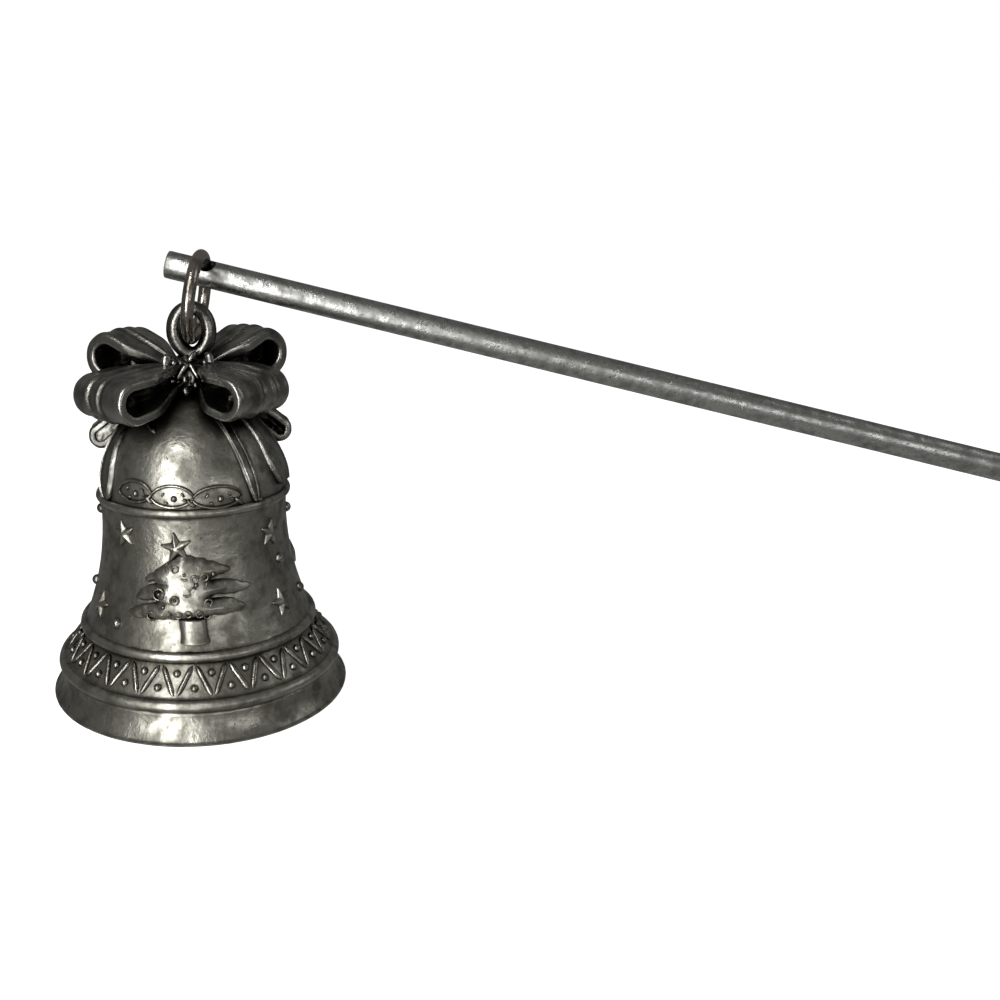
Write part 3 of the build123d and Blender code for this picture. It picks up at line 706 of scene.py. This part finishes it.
# Folds: where each starts and ends, its half width and height; those in front make an upturned V
folds = (
    ((0.0, -2.2, 39.3), (-1.35, -2.75, 37.5), 0.34, 0.55),
    ((0.0, -2.2, 39.3), (1.05, -2.75, 37.6), 0.32, 0.5),
    ((0.0, -2.2, 39.4), (0.95, -1.5, 40.5), 0.34, 0.5),
    ((-2.2, -1.5, 40.4), (-2.5, -2.0, 38.3), 0.52, 0.75),
    ((2.15, -1.45, 40.4), (2.5, -1.9, 38.3), 0.5, 0.72),
    ((0.6, -2.6, 37.2), (0.75, -2.8, 36.5), 0.34, 0.5),
    ((-0.55, -2.6, 36.6), (-0.2, -3.2, 35.8), 0.4, 0.5),
    ((1.9, 1.5, 39.3), (2.3, 2.1, 37.7), 0.44, 0.6),
    ((-1.9, 1.5, 39.3), (-2.3, 2.1, 37.7), 0.44, 0.6),
    ((0.0, 2.0, 39.4), (0.9, 2.6, 37.6), 0.34, 0.5),
    ((0.0, 2.0, 39.4), (-0.9, 2.6, 37.6), 0.34, 0.5))
for start, end, half_width, height in folds:
    start, end = Vector(start), Vector(end)
    out = (start + end) / 2 - Vector((0, 0, knot_middle))
    out = (out - (end - start) * (out.dot(end - start) / (end - start).length_squared)).normalized()
    knot.add(ridge(start, end, out, half_width, height, 12, 3))
# Small gathered lumps stand in a row at each side of the front fold
lump_round, lump_levels = 0.42, (39.25, 38.6, 37.95, 37.35)
for x in (-1.75, 1.75):
    for k, level in enumerate(lump_levels):
        out = Vector((x, -1.7, 0.5 * (level - knot_middle))).normalized()
        knot.add(button(Vector((x + 0.12 * (-1) ** k, -1.75 - 0.1 * k, level)), out, lump_round, 12))
bright_fold_metal = rubbed_metal_with_painted_shade(
    "polished_folds", (0.4, 0.393, 0.36), (0.012, 0.011, 0.009), 0.2, 1.6, 0.18, 0.06, 2.0)
set_piece("bow_middle", knot.points, knot.faces, bright_fold_metal, "bell", "ribbon_metal",
          "bow_knot", crease=60.0)


# Hanging eye: a stout upright loop of round wire, cast into the knot, that the loose ring hangs in.
# It is drawn in a little toward its foot and worn smooth inside.
eye_half, eye_foot, eye_crown, eye_wire, eye_shift = 1.95, 40.1, 45.25, 0.82, 0.55


def round_wire(path, thickness_at, closed=True, sides=20):
    """A round wire along a run of points that lie in one plane."""
    flat = (path[1] - path[0]).cross(path[len(path) // 3] - path[0]).normalized()
    rings = []
    for k, spot in enumerate(path):
        before = path[(k - 1) % len(path)] if closed or k else spot
        after = path[(k + 1) % len(path)] if closed or k + 1 < len(path) else spot
        out = (after - before).cross(flat).normalized()
        wire = thickness_at(k / len(path))
        rings.append([spot + out * (wire * cos(t)) + flat * (wire * sin(t))
                      for t in (2 * pi * j / sides for j in range(sides))])
    return skin(rings, path_closed=closed)


eye_path = []
for k in range(96):
    turn = 2 * pi * k / 96
    tall = (eye_crown - eye_foot) / 2
    pinch = 1 - 0.16 * eased(-cos(turn), 0.0, 1.0)
    x = eye_half * sin(turn) * pinch
    z = (eye_foot + eye_crown) / 2 + tall * (abs(cos(turn)) ** 0.9) * (1 if cos(turn) > 0 else -1)
    eye_path.append(Vector((eye_shift + x, -0.16 * x, z)))


def eye_wire_at(share):
    """The wire is stoutest at both sides, a little more so at the left."""
    side = sin(2 * pi * share)
    return eye_wire + 0.1 * side ** 2 - 0.04 * side


eye = round_wire(eye_path, eye_wire_at)
eye_metal = rubbed_metal_with_painted_shade(
    "smooth_dark_eye", (0.17, 0.167, 0.153), (0.02, 0.018, 0.014), 0.22, 2.4, 0.18, 0.04, 1.2)
set_piece("bow_hanging_eye", eye[0], eye[1], eye_metal, "bell", "ribbon_metal", "hanging_eye",
          crease=80.0)


# Jump ring: a loose ring of round steel wire, bent shut, that links the eye to the handle.
# It is plated and brighter than the castings; its two cut ends meet at a fine gap.
ring_place = Matrix.Scale(0.001, 4)
ring_middle = Vector((1.262619, 0.080402, 46.412969))
ring_axis = Vector((0.98723, -0.027118, -0.156978)).normalized()
ring_low = Vector((-0.156919, 0.00431, -0.987602)).normalized()
ring_round, ring_wire, ring_gap = 4.6, 0.72, 0.12
ring_side = ring_axis.cross(ring_low)
gap_turn = ring_gap / ring_round
turns = [radians(115) + (2 * pi - gap_turn) * k / 140 for k in range(141)]
ring_path = [ring_middle + (ring_low * cos(t) + ring_side * sin(t)) * ring_round for t in turns]
ring = round_wire(ring_path, lambda share: ring_wire, closed=False, sides=24)
wire_metal = rubbed_metal_with_painted_shade(
    "plated_wire", (0.46, 0.42, 0.37), (0.045, 0.036, 0.027), 0.16, 2.0, 0.2, 0.02, 0.8)
set_piece("loose_ring", ring[0], ring[1], wire_metal, "ring", "ring_wire", "jump_ring",
          place=ring_place, crease=50.0)


# Handle: a straight round bar drawn from soft steel, its ends cut square and the edges just broken,
# with one cross hole drilled for the ring. The surface is satin, with fine pits.
bar_round, bar_long, bar_edge, hole_round = 1.575, 200.0, 0.2, 1.12
hole_middle = Vector((1.75338, 3.777456, 48.860683))
hole_axis = Vector((0.200821, -0.559193, 0.804347)).normalized()
hole_to_tip = 4.6
bar_way = Vector((0.970218, 0.0, -0.242234)).normalized()
bar_tip = hole_middle - bar_way * hole_to_tip
bar_side = Vector((0, 1, 0))
bar_up = bar_side.cross(bar_way) * -1
stations = [(0.02, 0.0), (bar_round - bar_edge, 0.0), (bar_round - 0.06, 0.06), (bar_round, bar_edge)]
stations += [(bar_round, bar_edge + (bar_long - 2 * bar_edge) * k / 120) for k in range(1, 121)]
stations += [(bar_round - 0.06, bar_long - 0.06), (bar_round - bar_edge, bar_long), (0.02, bar_long)]
bar_sides = [bar_side * cos(t) + bar_up * sin(t) for t in (2 * pi * j / 72 for j in range(72))]
bar_rings = [[bar_tip + bar_way * run + side * reach for side in bar_sides] for reach, run in stations]
bar_form = skin(bar_rings)
bar_metal = rubbed_metal_with_painted_shade(
    "drawn_satin_bar", (0.52, 0.52, 0.495), (0.12, 0.118, 0.11), 0.3, 1.4, 0.1, 0.16, 1.0)
handle = set_piece("handle_bar", bar_form[0], bar_form[1], bar_metal, "handle", "handle_metal",
                   "handle_rod", place=ring_place, crease=35.0)
drill_across = hole_axis.orthogonal().normalized()
drill_other = hole_axis.cross(drill_across)
drill_sides = [drill_across * cos(t) + drill_other * sin(t) for t in (2 * pi * j / 48 for j in range(48))]
drill_form = skin([[hole_middle + hole_axis * run + side * hole_round for side in drill_sides]
                   for run in (-4.0, 4.0)])
drill_mesh = bpy.data.meshes.new("drill")
drill_mesh.from_pydata([ring_place @ p for p in drill_form[0]], [], drill_form[1])
drill = bpy.data.objects.new("drill", drill_mesh)
bpy.context.scene.collection.objects.link(drill)
cut = handle.modifiers.new("cross_hole", "BOOLEAN")
cut.operation, cut.object, cut.solver = "DIFFERENCE", drill, "EXACT"
bpy.context.view_layer.update()
drilled = bpy.data.meshes.new_from_object(handle.evaluated_get(bpy.context.evaluated_depsgraph_get()))
handle.modifiers.remove(cut)
handle.data = drilled
drilled.set_sharp_from_angle(angle=radians(35))
bpy.data.objects.remove(drill)


# Table, light and camera: a plain white table in a dim room, one tall window in front, to the left,
# a long low one in front for the bar and a faint one at the right. The table is not seen in the metal;
# a glow under it, in front, stands for the light it would throw back.
table_mesh = bpy.data.meshes.new("table")
table_round, table_level, table_sides = 2.5, -0.00005, 64
table_rim = [(table_round * cos(t), table_round * sin(t), table_level)
             for t in (2 * pi * k / table_sides for k in range(table_sides))]
table_mesh.from_pydata(table_rim, [], [tuple(range(table_sides))])
table = bpy.data.objects.new("table", table_mesh)
bpy.context.scene.collection.objects.link(table)
white = bpy.data.materials.new("white_table")
white.use_nodes = True
paper = white.node_tree.nodes["Principled BSDF"]
paper.inputs["Base Color"].default_value = (0.85, 0.85, 0.84, 1.0)
paper.inputs["Roughness"].default_value = 0.9
paper.inputs["Specular IOR Level"].default_value = 0.1
paper.inputs["Emission Color"].default_value = (1.0, 1.0, 1.0, 1.0)
paper.inputs["Emission Strength"].default_value = 0.92
table_mesh.materials.append(white)
table.visible_glossy = False
table.visible_shadow = False

room = bpy.data.worlds.new("dim_room")
bpy.context.scene.world = room
room.use_nodes = True
air, wires = room.node_tree.nodes, room.node_tree.links
height = air.new("ShaderNodeSeparateXYZ")
wires.new(air.new("ShaderNodeTexCoord").outputs["Generated"], height.inputs[0])
grade = air.new("ShaderNodeValToRGB")
grade.color_ramp.elements[0].position, grade.color_ramp.elements[0].color = 0.12, (0.28, 0.278, 0.27, 1)
grade.color_ramp.elements[1].position, grade.color_ramp.elements[1].color = 1.0, (0.17, 0.17, 0.167, 1)
middle_tone = grade.color_ramp.elements.new(0.42)
middle_tone.color = (0.13, 0.13, 0.127, 1)
lifted = air.new("ShaderNodeMapRange")
wires.new(height.outputs["Z"], lifted.inputs["Value"])
lifted.inputs["From Min"].default_value = -1.0
wires.new(lifted.outputs[0], grade.inputs[0])
walls, paper_white = air["Background"], air.new("ShaderNodeBackground")
choice = air.new("ShaderNodeMixShader")
wires.new(grade.outputs[0], walls.inputs["Color"])
paper_white.inputs["Color"].default_value = (1.0, 1.0, 1.0, 1.0)
wires.new(air.new("ShaderNodeLightPath").outputs["Is Camera Ray"], choice.inputs[0])
wires.new(walls.outputs[0], choice.inputs[1])
wires.new(paper_white.outputs[0], choice.inputs[2])
wires.new(choice.outputs[0], air["World Output"].inputs["Surface"])


def window(name, azimuth, elevation, away, wide, tall, power):
    """A soft rectangular light facing the bell; azimuth runs from the front toward the viewer's right."""
    glass = bpy.data.lights.new(name, "AREA")
    glass.shape, glass.size, glass.size_y, glass.energy = "RECTANGLE", wide, tall, power
    side, rise = radians(azimuth), radians(elevation)
    out = Vector((sin(side) * cos(rise), -cos(side) * cos(rise), sin(rise)))
    lamp = bpy.data.objects.new(name, glass)
    stand = Matrix.Translation(Vector((0, 0, 0.025)) + out * away)
    lamp.matrix_world = stand @ out.to_track_quat("Z", "Y").to_matrix().to_4x4()
    bpy.context.scene.collection.objects.link(lamp)


window("tall_window", -18.0, 25.0, 0.5, 0.17, 0.62, 2.8)
window("table_glow", -15.0, -13.0, 0.5, 0.16, 0.22, 0.8)
window("low_window", 30.0, 4.0, 0.5, 0.46, 0.1, 0.36)
window("side_window", 88.0, 25.0, 0.7, 0.15, 0.4, 0.25)

lens = bpy.data.cameras.new("camera")
lens.sensor_width, lens.lens, lens.shift_x, lens.clip_start = 36.0, 35.03, 0.2, 0.005
camera = bpy.data.objects.new("camera", lens)
pan, pitch, roll = radians(4.08), radians(15.71), radians(-0.87)
back = Vector((sin(pan) * cos(pitch), -cos(pan) * cos(pitch), sin(pitch)))
level_right = Vector((cos(pan), sin(pan), 0.0))
level_up = back.cross(level_right)
right = level_right * cos(roll) + level_up * sin(roll)
up = level_up * cos(roll) - level_right * sin(roll)
camera_place = Matrix.Translation((0.0205, -0.1106, 0.05395))
camera.matrix_world = camera_place @ Matrix((right, up, back)).transposed().to_4x4()
bpy.context.scene.collection.objects.link(camera)
bpy.context.scene.camera = camera
bpy.context.scene.view_settings.view_transform = "Standard"

bpy.context.view_layer.update()
